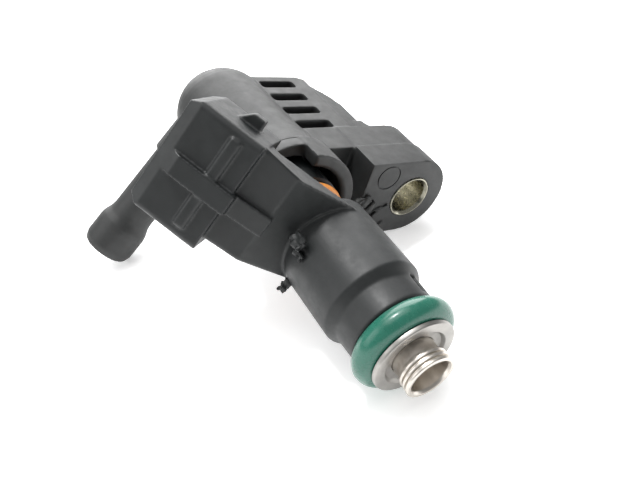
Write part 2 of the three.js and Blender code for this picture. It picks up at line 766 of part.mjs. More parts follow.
add('feed_cap', feedCap(), capPlastic());
add('boss_bush', bossBush(), zincSteel());
add('upper_seal_ring', upperSeal(), darkRubber());
add('overmould', overmould(), blackPlastic());
add('terminal_left', bladeGeometry(-1, 0), tin());
add('terminal_right', bladeGeometry(1, 0), tin());
add('dust_ring', dustRing(), orangeRubber());
add('spacer_ring', spacerRing(), blackPlastic());
add('inlet_tube', inletTube(), steel());
add('inlet_filter', inletFilter(), brass());
add('adjusting_sleeve', adjustingSleeve(), steel());
add('coil_bobbin', bobbin(), bobbinPlastic());
add('coil_winding', winding(), copper());
add('magnet_housing', magnetHousing(), magnetSteel());
add('flux_washer', fluxWasher(), magnetSteel());
add('spacer_sleeve', spacerSleeve(), steel());
add('nozzle_body', nozzleBody(), steel());
add('valve_seat', valveSeat(), steel());
add('orifice_plate', orificePlate(), steel());
add('seal_washer', sealWasher(), steel());
add('lower_seal_ring', lowerSeal(), greenRubber());
add('armature', armature(), magnetSteel());
add('needle_tube', needleTube(), steel());
add('valve_ball', valveBall(), steel());
add('return_spring', returnSpring(), steel());

// Lay the part down as it rests: row axes from the roll and the pitch of the injector's axis.
const upright = new THREE.Vector3(
  -Math.sin(rad(lieRoll)) * Math.cos(rad(liePitch)), -Math.cos(rad(lieRoll)) * Math.cos(rad(liePitch)),
  Math.sin(rad(liePitch)),
);
const ahead = axisUp.clone().addScaledVector(upright, -axisUp.dot(upright)).normalize();
const leftward = upright.clone().cross(ahead);
const lying = new THREE.Group();
lying.name = 'lying';
lying.applyMatrix4(new THREE.Matrix4().makeBasis(ahead, leftward, upright).transpose());
lying.add(along);

const fuelInjector = new THREE.Group();
fuelInjector.name = 'fuel_injector';
fuelInjector.add(lying);
fuelInjector.updateMatrixWorld(true);
const extent = new THREE.Box3().setFromObject(fuelInjector, true);
const middle = extent.getCenter(new THREE.Vector3());
fuelInjector.position.set(-middle.x, -middle.y, -extent.min.z);

export default fuelInjector;
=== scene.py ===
import json
import math

import bpy
from mathutils import Matrix, Vector


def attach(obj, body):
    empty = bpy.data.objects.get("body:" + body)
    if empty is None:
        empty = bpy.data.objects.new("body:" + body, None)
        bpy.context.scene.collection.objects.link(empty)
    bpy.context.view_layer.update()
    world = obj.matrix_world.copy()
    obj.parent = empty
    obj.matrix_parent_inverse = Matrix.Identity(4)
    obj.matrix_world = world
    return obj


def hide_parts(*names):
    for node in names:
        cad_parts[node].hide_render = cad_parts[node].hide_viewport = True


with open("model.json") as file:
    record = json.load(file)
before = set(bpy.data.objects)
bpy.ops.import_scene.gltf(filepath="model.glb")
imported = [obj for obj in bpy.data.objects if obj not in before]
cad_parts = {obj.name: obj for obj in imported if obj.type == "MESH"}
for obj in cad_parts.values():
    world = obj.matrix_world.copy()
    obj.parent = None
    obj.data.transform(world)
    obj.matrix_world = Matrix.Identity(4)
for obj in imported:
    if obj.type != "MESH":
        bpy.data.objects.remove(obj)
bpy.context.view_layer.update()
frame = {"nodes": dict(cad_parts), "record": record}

mm = 0.001

# The pieces are modelled upright, in millimetres: +Z from the nozzle tip to the cap, +X to the boss.
# layDown then turns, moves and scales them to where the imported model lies.
jointList = frame["record"]["behaviour"]["joints"]
swivelJoint = next(joint for joint in jointList if joint["name"] == "injector_swivel")
swivelHeight = 40.0  # nozzle tip to the swivel's point
tubeAxis = Vector(swivelJoint["axis"]).normalized()
nozzleTip = Vector(swivelJoint["pos_m"]) - tubeAxis * swivelHeight * mm
bossPoint = Vector(next(m for m in frame["record"]["mounts"] if m["name"] == "boss_seat")["pos_m"])
toBoss = bossPoint - nozzleTip
toBoss = (toBoss - tubeAxis * toBoss.dot(tubeAxis)).normalized()
layDown = Matrix((toBoss, tubeAxis.cross(toBoss), tubeAxis)).transposed().to_4x4() @ Matrix.Scale(mm, 4)
layDown.translation = nozzleTip


def pickNothing():
    if bpy.context.mode != "OBJECT":
        bpy.ops.object.mode_set(mode="OBJECT")
    bpy.ops.object.select_all(action="DESELECT")


def pick(piece):
    pickNothing()
    piece.select_set(True)
    bpy.context.view_layer.objects.active = piece


def settle(piece):
    pick(piece)
    bpy.ops.object.transform_apply(location=True, rotation=True, scale=True)


def turnPiece(name, profile, sides=96):
    # profile is a list of (radius, height), followed from one end to the other; the ends are filled,
    # or joined where the last point is the first again
    pickNothing()
    radius, height = profile[0]
    closed = profile[0] == profile[-1]
    startFill = "NOTHING" if closed else "NGON"
    bpy.ops.mesh.primitive_circle_add(vertices=sides, radius=radius, fill_type=startFill,
                                      location=(0, 0, height))
    piece = bpy.context.object
    piece.name = name
    piece.data.name = name
    bpy.ops.object.mode_set(mode="EDIT")
    bpy.ops.mesh.select_all(action="SELECT")
    for nextRadius, nextHeight in profile[1:]:
        bpy.ops.mesh.extrude_edges_move(TRANSFORM_OT_translate={"value": (0, 0, nextHeight - height)})
        grow = nextRadius / radius
        bpy.ops.transform.resize(value=(grow, grow, 1), center_override=(0, 0, nextHeight))
        radius, height = nextRadius, nextHeight
    if not closed:
        bpy.ops.mesh.edge_face_add()
    bpy.ops.mesh.select_all(action="SELECT")
    bpy.ops.mesh.remove_doubles(threshold=0.0005)
    bpy.ops.mesh.normals_make_consistent(inside=False)
    bpy.ops.object.mode_set(mode="OBJECT")
    settle(piece)
    return piece


def cutBlock(name, low, high, cuts=()):
    # a block, with the part in front of each cutting plane taken off
    pickNothing()
    middle = [(a + b) / 2 for a, b in zip(low, high)]
    bpy.ops.mesh.primitive_cube_add(size=1, location=middle, scale=[b - a for a, b in zip(low, high)])
    piece = bpy.context.object
    piece.name = name
    settle(piece)
    bpy.ops.object.mode_set(mode="EDIT")
    for point, direction in cuts:
        bpy.ops.mesh.select_all(action="SELECT")
        bpy.ops.mesh.bisect(plane_co=point, plane_no=direction, use_fill=True, clear_outer=True)
    bpy.ops.mesh.select_all(action="SELECT")
    bpy.ops.mesh.normals_make_consistent(inside=False)
    bpy.ops.object.mode_set(mode="OBJECT")
    return piece


def place(piece, matrix):
    piece.matrix_world = matrix @ piece.matrix_world
    settle(piece)
    return piece


def applyModifier(piece, kind, **settings):
    pick(piece)
    modifier = piece.modifiers.new(kind.title(), kind)
    for key, value in settings.items():
        setattr(modifier, key, value)
    bpy.ops.object.modifier_apply(modifier=modifier.name)


def roundEdges(piece, width, segments=3, angle=30):
    applyModifier(piece, "BEVEL", width=width, segments=segments, limit_method="ANGLE",
                  angle_limit=math.radians(angle), use_clamp_overlap=True)


def combine(piece, others, operation="UNION"):
    for other in others:
        applyModifier(piece, "BOOLEAN", operation=operation, object=other, solver="EXACT")
        bpy.data.objects.remove(other)


def melt(piece, voxel, smoothing):
    applyModifier(piece, "REMESH", mode="VOXEL", voxel_size=voxel)
    applyModifier(piece, "SMOOTH", factor=0.5, iterations=smoothing)


def finishPiece(piece, body, material, nodes=(), angle=35):
    pick(piece)
    bpy.ops.object.shade_smooth_by_angle(angle=math.radians(angle))
    place(piece, layDown)
    piece.data.materials.clear()
    piece.data.materials.append(material)
    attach(piece, body)
    if nodes:
        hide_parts(*nodes)
    print("made", piece.name, len(piece.data.polygons), "faces")
    return piece


# finishes
def newMaterial(name):
    material = bpy.data.materials.new(name)
    material.use_nodes = True
    tree = material.node_tree
    return material, tree, tree.nodes["Principled BSDF"]


def objectPoints(tree, stretch=(1000, 1000, 1000)):
    # Object coordinates, brought to millimetres
    coordinates = tree.nodes.new("ShaderNodeTexCoord")
    mapping = tree.nodes.new("ShaderNodeMapping")
    mapping.inputs["Scale"].default_value = stretch
    tree.links.new(coordinates.outputs["Object"], mapping.inputs["Vector"])
    return mapping.outputs["Vector"]


def addNoise(tree, points, scale, detail=4, roughness=0.5):
    noise = tree.nodes.new("ShaderNodeTexNoise")
    noise.inputs["Scale"].default_value = scale
    noise.inputs["Detail"].default_value = detail
    noise.inputs["Roughness"].default_value = roughness
    tree.links.new(points, noise.inputs["Vector"])
    return noise.outputs["Fac"]


def addRamp(tree, factor, stops):
    ramp = tree.nodes.new("ShaderNodeValToRGB")
    ramp.color_ramp.elements[0].position = stops[0][0]
    ramp.color_ramp.elements[0].color = (*stops[0][1], 1)
    ramp.color_ramp.elements[1].position = stops[-1][0]
    ramp.color_ramp.elements[1].color = (*stops[-1][1], 1)
    for position, colour in stops[1:-1]:
        ramp.color_ramp.elements.new(position).color = (*colour, 1)
    tree.links.new(factor, ramp.inputs["Fac"])
    return ramp.outputs["Color"]


def addRange(tree, factor, low, high, fromLow=0.3, fromHigh=0.7):
    spread = tree.nodes.new("ShaderNodeMapRange")
    spread.inputs["From Min"].default_value = fromLow
    spread.inputs["From Max"].default_value = fromHigh
    spread.inputs["To Min"].default_value = low
    spread.inputs["To Max"].default_value = high
    tree.links.new(factor, spread.inputs["Value"])
    return spread.outputs["Result"]


def addBump(tree, shader, layers):
    # layers are (height output, strength, distance in metres)
    normal = None
    for height, strength, distance in layers:
        bump = tree.nodes.new("ShaderNodeBump")
        bump.inputs["Strength"].default_value = strength
        bump.inputs["Distance"].default_value = distance
        tree.links.new(height, bump.inputs["Height"])
        if normal:
            tree.links.new(normal, bump.inputs["Normal"])
        normal = bump.outputs["Normal"]
    tree.links.new(normal, shader.inputs["Normal"])


def mouldedPlastic(name, dark, light, roughLow, roughHigh, grain=0.25):
    material, tree, shader = newMaterial(name)
    points = objectPoints(tree)
    cloud = addNoise(tree, points, 0.22, 6, 0.6)
    colour = addRamp(tree, cloud, [(0.3, dark), (0.72, light)])
    tree.links.new(colour, shader.inputs["Base Color"])
    smear = addNoise(tree, points, 0.55, 8, 0.65)
    tree.links.new(addRange(tree, smear, roughLow, roughHigh), shader.inputs["Roughness"])
    fine = addNoise(tree, points, 9, 3, 0.6)
    wavy = addNoise(tree, points, 0.8, 2, 0.5)
    addBump(tree, shader, [(wavy, 0.12, 0.00006), (fine, grain, 0.000012)])
    shader.inputs["Specular IOR Level"].default_value = 0.5
    return material


def softRubber(name, dark, light, roughness):
    material, tree, shader = newMaterial(name)
    points = objectPoints(tree)
    cloud = addNoise(tree, points, 0.3, 5, 0.6)
    tree.links.new(addRamp(tree, cloud, [(0.3, dark), (0.7, light)]), shader.inputs["Base Color"])
    smear = addNoise(tree, points, 1.1, 6, 0.6)
    tree.links.new(addRange(tree, smear, roughness - 0.07, roughness + 0.1), shader.inputs["Roughness"])
    fine = addNoise(tree, points, 12, 2, 0.5)
    addBump(tree, shader, [(fine, 0.1, 0.000004)])
    return material


def turnedMetal(name, dark, light, roughLow, roughHigh, rings=14):
    # fine turning marks round the injector's axis
    material, tree, shader = newMaterial(name)
    points = objectPoints(tree)
    mapping = points.node
    turn = layDown.to_3x3().normalized().to_quaternion().inverted().to_euler()
    mapping.inputs["Rotation"].default_value = turn
    shader.inputs["Metallic"].default_value = 1
    cloud = addNoise(tree, points, 0.5, 5, 0.6)
    tree.links.new(addRamp(tree, cloud, [(0.3, dark), (0.7, light)]), shader.inputs["Base Color"])
    smear = addNoise(tree, points, 1.3, 6, 0.6)
    tree.links.new(addRange(tree, smear, roughLow, roughHigh), shader.inputs["Roughness"])
    squeeze = tree.nodes.new("ShaderNodeMapping")
    squeeze.inputs["Scale"].default_value = (0.15, 0.15, rings)
    tree.links.new(points, squeeze.inputs["Vector"])
    marks = addNoise(tree, squeeze.outputs["Vector"], 1, 3, 0.6)
    addBump(tree, shader, [(marks, 0.2, 0.000004)])
    return material


capPlastic = mouldedPlastic("capPlastic", (0.015, 0.016, 0.016), (0.024, 0.025, 0.025), 0.48, 0.62)
bodyPlastic = mouldedPlastic("bodyPlastic", (0.007, 0.0085, 0.0088), (0.012, 0.014, 0.0145), 0.42, 0.58)
greenRubber = softRubber("greenRubber", (0.016, 0.115, 0.078), (0.022, 0.14, 0.098), 0.24)
orangeRubber = softRubber("orangeRubber", (0.7, 0.25, 0.05), (0.8, 0.31, 0.07), 0.4)
darkRubber = softRubber("darkRubber", (0.02, 0.02, 0.02), (0.035, 0.035, 0.035), 0.42)
nozzleSteel = turnedMetal("nozzleSteel", (0.56, 0.52, 0.47), (0.66, 0.62, 0.57), 0.28, 0.38)
brightSteel = turnedMetal("brightSteel", (0.5, 0.45, 0.4), (0.66, 0.62, 0.58), 0.16, 0.3)
washerSteel = turnedMetal("washerSteel", (0.3, 0.29, 0.275), (0.38, 0.365, 0.345), 0.32, 0.46, 4)
magnetSteel = turnedMetal("magnetSteel", (0.36, 0.37, 0.38), (0.46, 0.47, 0.48), 0.35, 0.5)
zincSteel = turnedMetal("zincSteel", (0.34, 0.33, 0.26), (0.44, 0.42, 0.35), 0.22, 0.32)
tinPlate = turnedMetal("tinPlate", (0.6, 0.59, 0.54), (0.72, 0.71, 0.66), 0.25, 0.4, 2)
copperWire = turnedMetal("copperWire", (0.5, 0.2, 0.09), (0.66, 0.3, 0.14), 0.3, 0.42, 9)
bobbinPlastic = mouldedPlastic("bobbinPlastic", (0.52, 0.47, 0.36), (0.62, 0.57, 0.46), 0.45, 0.6)
brassBasket = turnedMetal("brassBasket", (0.5, 0.37, 0.16), (0.62, 0.47, 0.22), 0.3, 0.45, 6)
print("finishes ready")


# nozzle end
nozzle = {
    "lip": 3.48, "neck": 3.0, "bore": 2.66, "rings": 3, "ringLong": 0.55, "ringGap": 0.12, "ringStep": 0.06,
    "grooveDeep": 0.3, "flare": 0.28, "seatAt": 7.3, "step": 8.2, "wide": 4.2, "top": 16.0,
    "valveBore": 2.0, "guideBore": 3.0, "guideAt": 12.0,
}


def makeNozzle():
    n = nozzle
    profile = [(n["bore"] + n["flare"], 0.04), (n["lip"] - 0.22, 0.0)]
    height = 0.0
    for ring in range(n["rings"]):
        outer = n["lip"] - ring * n["ringStep"]
        groove = outer - n["grooveDeep"]
        height += n["ringLong"]
        profile += [(outer - 0.05, height - 0.47), (outer, height - 0.37), (outer, height - 0.16),
                    (outer - 0.06, height - 0.06), (groove, height), (groove, height + n["ringGap"])]
        height += n["ringGap"]
    profile += [(n["neck"] + 0.02, height + 0.15), (n["neck"], height + 0.4), (n["neck"], n["step"]),
                (n["wide"] - 0.1, n["step"]), (n["wide"], n["step"] + 0.1), (n["wide"], n["top"] - 0.1),
                (n["wide"] - 0.1, n["top"]), (n["guideBore"], n["top"]), (n["guideBore"], n["guideAt"]),
                (n["valveBore"], n["guideAt"] - 1), (n["valveBore"], n["seatAt"] + 0.5),
                (n["bore"], n["seatAt"]), (n["bore"], 0.5), (n["bore"] + 0.06, 0.3), profile[0]]
    piece = turnPiece("nozzleTube", profile, 128)
    finishPiece(piece, "injector", nozzleSteel, ["nozzle_body"], 28)


washer = {"front": 3.2, "back": 3.92, "outer": 5.88, "dish": 4.35, "dishDeep": 0.55, "hole": 3.05}


def makeSealWasher():
    w = washer
    floor = w["front"] + w["dishDeep"]
    profile = [(w["hole"], floor + 0.06), (w["hole"] + 0.1, floor), (w["dish"] - 0.5, floor),
               (w["dish"] - 0.25, floor - 0.1), (w["dish"] - 0.06, w["front"] + 0.12),
               (w["dish"] + 0.1, w["front"]),
               (w["outer"] - 0.24, w["front"]), (w["outer"] - 0.08, w["front"] + 0.06),
               (w["outer"], w["front"] + 0.22), (w["outer"], w["back"] - 0.1), (w["outer"] - 0.1, w["back"]),
               (w["hole"], w["back"]), (w["hole"], floor + 0.06)]
    piece = turnPiece("sealWasher", profile, 128)
    finishPiece(piece, "injector", washerSteel, ["seal_washer"], 28)


# ring radius, radius of the section, height
sealRings = {
    "lowerSealRing": (5.525, 1.765, 5.76),
    "dustRing": (4.75, 1.3, 30.75),
    "upperSealRing": (5.4, 1.9, 39.6),
}


def makeSealRing(name, node, body, material):
    ringRadius, section, height = sealRings[name]
    pickNothing()
    bpy.ops.mesh.primitive_torus_add(major_segments=144, minor_segments=40, major_radius=ringRadius,
                                     minor_radius=section, location=(0, 0, height))
    piece = bpy.context.object
    piece.name = name
    settle(piece)
    bpy.ops.object.mode_set(mode="EDIT")
    bpy.ops.mesh.select_all(action="DESELECT")
    bpy.ops.object.mode_set(mode="OBJECT")
    for vertex in piece.data.vertices:  # the mould's parting line round the outside
        vertex.select = abs(vertex.co.z - height) < 0.01 and vertex.co.xy.length > ringRadius
    bpy.ops.object.mode_set(mode="EDIT")
    bpy.ops.transform.resize(value=(1.002, 1.002, 1), center_override=(0, 0, height))
    bpy.ops.object.mode_set(mode="OBJECT")
    finishPiece(piece, body, material, [node], 60)


makeNozzle()
makeSealWasher()
makeSealRing("lowerSealRing", "lower_seal_ring", "injector", greenRubber)
makeSealRing("dustRing", "dust_ring", "injector", orangeRubber)
makeSealRing("upperSealRing", "upper_seal_ring", "seal", darkRubber)


# overmould: barrel, neck and plug shell
barrel = {
    "foot": 3.99, "stem": 3.71, "stemTop": 7.35, "nose": 6.25, "shoulderLow": 11.4, "shoulderHigh": 12.45,
    "radius": 7.25, "top": 26.2, "stub": 5.7, "stubTop": 29.4, "nozzleBore": 3.12, "nozzleBoreTop": 8.8,
    "tubeBore": 4.25, "tubeFrom": 8.9, "tubeTop": 25.4, "inletBore": 3.45, "inletFrom": 25.5,
}
plug = {
    "turn": 205, "lean": 41, "reach": 22.98, "height": 34.33, "wide": 16.3, "thick": 10.6, "long": 8.9,
    "wall": 1.4, "back": 1.5, "round": 0.85, "rimFrom": 0.2, "rimLong": 1.7, "rimInset": 1.0,
    "spineAt": 0.25, "spineWide": 2.9, "spineHigh": 0.75, "bandAt": -5.65, "bandWide": 1.75, "bandHigh": 0.5,
}
neck = {
    "near": 7.2, "flared": 8.15, "far": 6.4, "foot": 22.8, "kneeOut": 12.2, "kneeUp": 24.9, "crookOut": 5.5,
    "crookUp": 26.6, "round": 0.55,
}
latch = {"from": 3.1, "ramp": 4.8, "to": 6.5, "near": 4.9, "far": 6.8, "high": 1.6, "rooted": 0.7}

outward = Vector((math.cos(math.radians(plug["turn"])), math.sin(math.radians(plug["turn"])), 0))
upward = Vector((0, 0, 1))
mouthAim = upward * math.cos(math.radians(plug["lean"])) + outward * math.sin(math.radians(plug["lean"]))
underSide = outward * math.cos(math.radians(plug["lean"])) - upward * math.sin(math.radians(plug["lean"]))
plugMatrix = Matrix((underSide.cross(mouthAim), underSide, mouthAim)).transposed().to_4x4()
plugMatrix.translation = outward * plug["reach"] + upward * plug["height"]
neckMatrix = Matrix((outward, upward, outward.cross(upward))).transposed().to_4x4()


def makeBarrel():
    b = barrel
    return turnPiece("overmouldBody", [
        (b["nozzleBore"], b["foot"]), (b["stem"] - 0.15, b["foot"]), (b["stem"], b["foot"] + 0.1),
        (b["stem"], b["stemTop"]), (b["nose"] - 0.35, b["stemTop"] + 0.15),
        (b["nose"] - 0.08, b["stemTop"] + 0.25), (b["nose"], b["stemTop"] + 0.5),
        (b["nose"] + 0.1, b["shoulderLow"] - 0.1), (b["nose"] + 0.16, b["shoulderLow"]),
        (b["radius"] - 0.12, b["shoulderHigh"]), (b["radius"], b["shoulderHigh"] + 0.2),
        (b["radius"], b["top"] - 0.5), (b["radius"] - 0.4, b["top"]), (b["stub"] + 0.2, b["top"]),
        (b["stub"], b["top"] + 0.2), (b["stub"], b["stubTop"] - 0.2), (b["stub"] - 0.2, b["stubTop"]),
        (b["inletBore"], b["stubTop"]), (b["inletBore"], b["inletFrom"]), (b["tubeBore"], b["tubeTop"]),
        (b["tubeBore"], b["tubeFrom"]), (b["nozzleBore"], b["nozzleBoreTop"]), (b["nozzleBore"], b["foot"]),
    ], 120)


def makeNeck():
    n = neck
    rear = plug["reach"] - plug["long"] * math.sin(math.radians(plug["lean"]))
    slab = cutBlock("neck", (0, n["foot"], -n["flared"]), (18, 36, n["far"]), [
        ((n["kneeOut"], n["kneeUp"], 0), (0.17, -0.985, 0)),
        ((n["kneeOut"], n["kneeUp"], 0), (0.64, -0.77, 0)),
        ((16.9, 29.0, 0), (0.755, -0.656, 0)),
        ((14.0, 34.5, 0), (0.62, 0.78, 0)),
        ((9.0, 29.7, 0), (-0.66, 0.75, 0)),
    ])
    roundEdges(slab, n["round"], 3)
    side = cutBlock("sideCut", (-1, 10, -12), (rear, 40, -n["near"]), [((13.9, 0, -7.7), (0.17, 0, 0.985))])
    crook = cutBlock("crookCut", (-1, n["crookUp"], -12), (7, 40, 12), [
        ((n["crookOut"], n["crookUp"], 0), (0.66, -0.75, 0)),
    ])
    combine(slab, [side, crook], "DIFFERENCE")
    halfSpine = plug["spineWide"] / 2
    low, high = plug["spineAt"] - halfSpine, plug["spineAt"] + halfSpine
    tail = cutBlock("spineTail", (7, 20, low), (19, 31, high), [
        ((n["kneeOut"] + 0.4, n["kneeUp"] - 0.45, 0), (0.6, -0.8, 0)),
        ((18.25, 27.8, 0), (0.755, -0.656, 0)),
        ((n["kneeOut"] - 0.3, n["kneeUp"], 0), (-0.9, -0.3, 0)), ((13, 28, 0), (-0.6, 0.8, 0)),
    ])
    bore = turnPiece("neckBore", [(barrel["tubeBore"], 20), (barrel["tubeBore"], barrel["tubeTop"]),
                                  (barrel["inletBore"], barrel["inletFrom"]), (barrel["inletBore"], 40)], 96)
    place(slab, neckMatrix)
    place(tail, neckMatrix)
    combine(slab, [bore], "DIFFERENCE")
    return slab, tail


def makeShell():
    p = plug
    half = p["wide"] / 2
    front = p["rimFrom"] + p["rimLong"]
    slope = Vector((0, p["rimLong"], p["rimInset"])).normalized()
    shell = cutBlock("shell", (-half, -p["thick"], -p["long"] - 2), (half, 0, front + 2))
    roundEdges(shell, p["round"], 4)
    bpy.ops.object.mode_set(mode="EDIT")  # cut square at the back, and to a sloped rim on all four sides
    for point, normal in (((0, 0, -p["long"]), (0, 0, -1)), ((0, 0, front), (0, 0, 1)),
                          ((0, 0, p["rimFrom"]), (0, slope.y, slope.z)),
                          ((0, -p["thick"], p["rimFrom"]), (0, -slope.y, slope.z)),
                          ((half, 0, p["rimFrom"]), (slope.y, 0, slope.z)),
                          ((-half, 0, p["rimFrom"]), (-slope.y, 0, slope.z))):
        bpy.ops.mesh.select_all(action="SELECT")
        bpy.ops.mesh.bisect(plane_co=point, plane_no=normal, use_fill=True, clear_outer=True)
    bpy.ops.object.mode_set(mode="OBJECT")
    spine = cutBlock("spine", (p["spineAt"] - p["spineWide"] / 2, -1.2, -p["long"] - 0.6),
                     (p["spineAt"] + p["spineWide"] / 2, p["spineHigh"], p["rimFrom"] + 0.2), [
        ((0, 0, p["rimFrom"]), (0, slope.y, slope.z)),
    ])
    parts = [spine]
    for low, high in ((1.1 - half, p["spineAt"]), (p["spineAt"], half - 1.5)):
        band = cutBlock("band", (low, -1, p["bandAt"] - p["bandWide"] / 2),
                        (high, p["bandHigh"], p["bandAt"] + p["bandWide"] / 2))
        roundEdges(band, 0.45, 4)
        parts.append(band)
    nose = cutBlock("latch", (-half - latch["high"], -latch["far"], -latch["to"]),
                    (latch["rooted"] - half, -latch["near"], -latch["from"]), [
        ((-half, 0, -latch["from"]), (-(latch["ramp"] - latch["from"]), 0, latch["high"])),
    ])
    roundEdges(nose, 0.15, 2)
    parts.append(nose)
    socket = cutBlock("socket", (p["wall"] - half, p["wall"] - p["thick"], p["back"] - p["long"]),
                      (half - p["wall"], -p["wall"], front + 2))
    roundEdges(socket, 0.5, 3)
    for part in [shell, socket] + parts:
        place(part, plugMatrix)
    return shell, parts, socket


def makeOvermould():
    body = makeBarrel()
    slab, tail = makeNeck()
    shell, parts, socket = makeShell()
    combine(body, [slab, tail, shell] + parts, "UNION")
    slot = cutBlock("slot", (5.4, -0.6, 8.6), (8.0, 0.6, 11.5))
    place(slot, Matrix.Rotation(math.radians(-60), 4, "Z"))
    combine(body, [socket, slot], "DIFFERENCE")
    melt(body, 0.18, 1)
    applyModifier(body, "DECIMATE", ratio=0.5)
    finishPiece(body, "injector", bodyPlastic, ["overmould"], 50)


blade = {"pitch": 5.0, "wide": 1.5, "thick": 0.8, "middle": -5.3, "root": -11.3, "tip": -2.0}


def makeTerminal(name, side, node):
    b = blade
    middle = side * b["pitch"] / 2
    piece = cutBlock(name, (middle - b["wide"] / 2, b["middle"] - b["thick"] / 2, b["root"]),
                     (middle + b["wide"] / 2, b["middle"] + b["thick"] / 2, b["tip"]))
    bpy.ops.object.mode_set(mode="EDIT")  # the tip is pinched to a blunt point
    bpy.ops.mesh.select_all(action="SELECT")
    bpy.ops.mesh.bisect(plane_co=(0, 0, b["tip"] - 1.0), plane_no=(0, 0, 1))
    bpy.ops.mesh.select_all(action="DESELECT")
    bpy.ops.object.mode_set(mode="OBJECT")
    for vertex in piece.data.vertices:
        vertex.select = vertex.co.z > b["tip"] - 0.1
    bpy.ops.object.mode_set(mode="EDIT")
    bpy.ops.transform.resize(value=(0.65, 0.45, 1), center_override=(middle, b["middle"], b["tip"]))
    bpy.ops.object.mode_set(mode="OBJECT")
    roundEdges(piece, 0.06, 2, 20)
    place(piece, plugMatrix)
    finishPiece(piece, "injector", tinPlate, [node], 30)


# torn flash where the neck meets the barrel: place, size, turn about the axis
flashBits = [
    ((-7.2, -5.1, 24.2), (0.45, 2.8, 2.6), 32), ((-6.9, -3.4, 23.0), (1.8, 1.3, 1.8), 12),
    ((-7.2, -1.6, 22.6), (1.7, 3.0, 1.6), -8), ((-7.3, 0.8, 22.3), (1.2, 3.2, 1.3), -20),
    ((-6.9, 2.9, 22.4), (1.5, 2.4, 1.5), 18), ((-7.5, -4.2, 21.9), (0.6, 1.6, 2.2), 40),
    ((-7.3, -2.4, 21.6), (0.4, 0.9, 2.0), -15), ((-6.6, 4.6, 22.6), (0.8, 2.0, 1.0), 30),
]


def roughBit(name, middle, size, turn, strength):
    piece = cutBlock(name, [-side / 2 for side in size], [side / 2 for side in size])
    roundEdges(piece, min(size) * 0.3, 2)
    place(piece, Matrix.Translation(middle) @ Matrix.Rotation(math.radians(turn), 4, "Z"))
    pick(piece)
    bpy.ops.object.mode_set(mode="EDIT")
    bpy.ops.mesh.select_all(action="SELECT")
    bpy.ops.mesh.subdivide(number_cuts=4)
    bpy.ops.object.mode_set(mode="OBJECT")
    texture = bpy.data.textures.new(name, "CLOUDS")
    texture.noise_scale = 0.6
    applyModifier(piece, "DISPLACE", strength=strength, texture=texture, texture_coords="LOCAL",
                  mid_level=0.45)
    return piece


def makeNeckFlash():
    bits = [roughBit("flash", middle, size, turn, 1.1) for middle, size, turn in flashBits]
    piece = bits[0]
    piece.name = "neckFlash"
    combine(piece, bits[1:])
    finishPiece(piece, "injector", bodyPlastic, angle=30)


makeOvermould()
makeNeckFlash()
makeTerminal("terminalLeft", -1, "terminal_left")
makeTerminal("terminalRight", 1, "terminal_right")


# feed cap
cap = {
    "dome": 8.1, "domeAt": 59.5, "radius": 8.0,
    "outline": [(9.3, 36.0), (9.22, 37.0), (9.05, 38.2), (8.45, 43.0), (8.2, 48.0)],
    "seam": 38.2, "cupBore": 7.4, "cupTop": 45.2, "chamber": 4.2, "chamberFrom": 46.4, "chamberTop": 62.1,
    "chamberEnd": (2.7, 63.6), "collarEnd": 32.6, "collar": 9.5,
    "webHigh": 6.65, "webEdge": 14.0, "webTop": 61.0, "webSide": 18.5, "cornerRadius": 2.9,
    "bossOut": 21.64, "bossRadius": 7.05, "bossLow": 32.5, "bossSplit": 37.9, "bossHigh": 44.0,
    "bossFrom": 11.4, "bossHole": 3.79, "pocketFrom": 4.9, "pocketTo": 11.6, "pocketHigh": 2.1,
    "pocketPitch": 4.3, "pocketMiddle": 45.4, "pocketDeep": 5.6,
}
barb = {"turn": 122.8, "drop": 3.0, "height": 62.3}


def makeWeb():
    c = cap
    w = c["webHigh"]
    plate = cutBlock("web", (0, -w, c["seam"]), (c["webEdge"] + 0.6, w, c["webTop"]), [
        ((13.2, 0, c["webTop"]), (0.5, 0, 0.87)),
    ])
    strip = cutBlock("strip", (12.5, -w, c["seam"]), (c["webSide"], w, 59.4), [
        ((c["webEdge"], -w, 0), (0.19, -0.98, 0)), ((c["webEdge"], w, 0), (0.19, 0.98, 0)),
        ((14.2, 0, 58.4), (0.55, 0, 0.83)), ((16.3, 0, 56.5), (0.72, 0, 0.69)),
        ((17.9, 0, 54.0), (0.9, 0, 0.43)),
    ])
    corner = cutBlock("corner", (c["webSide"] - 1, -w + 0.3, c["bossHigh"] - 2),
                      (c["webSide"] + 3.0, w - 0.3, c["bossHigh"] + 2.6))
    hollow = turnPiece("hollow", [(c["cornerRadius"], -12), (c["cornerRadius"], 12)], 64)
    middle = Matrix.Translation((c["webSide"] + 3.05, 0, c["bossHigh"] + 2.7))
    place(hollow, middle @ Matrix.Rotation(math.radians(90), 4, "X"))
    combine(corner, [hollow], "DIFFERENCE")
    return [plate, strip, corner]


def makeBossBlock():
    c = cap
    parts = []
    for low, high, slim in ((c["bossLow"], c["bossSplit"], 0), (c["bossSplit"], c["bossHigh"], 0.22)):
        radius = c["bossRadius"] - slim
        disc = turnPiece("boss", [(radius, low), (radius, high)], 96)
        place(disc, Matrix.Translation((c["bossOut"], 0, 0)))
        block = cutBlock("bossBlock", (c["bossFrom"] + slim, -radius, low), (c["bossOut"], radius, high))
        combine(disc, [block])
        roundEdges(disc, 0.22, 2)
        parts.append(disc)
    return parts


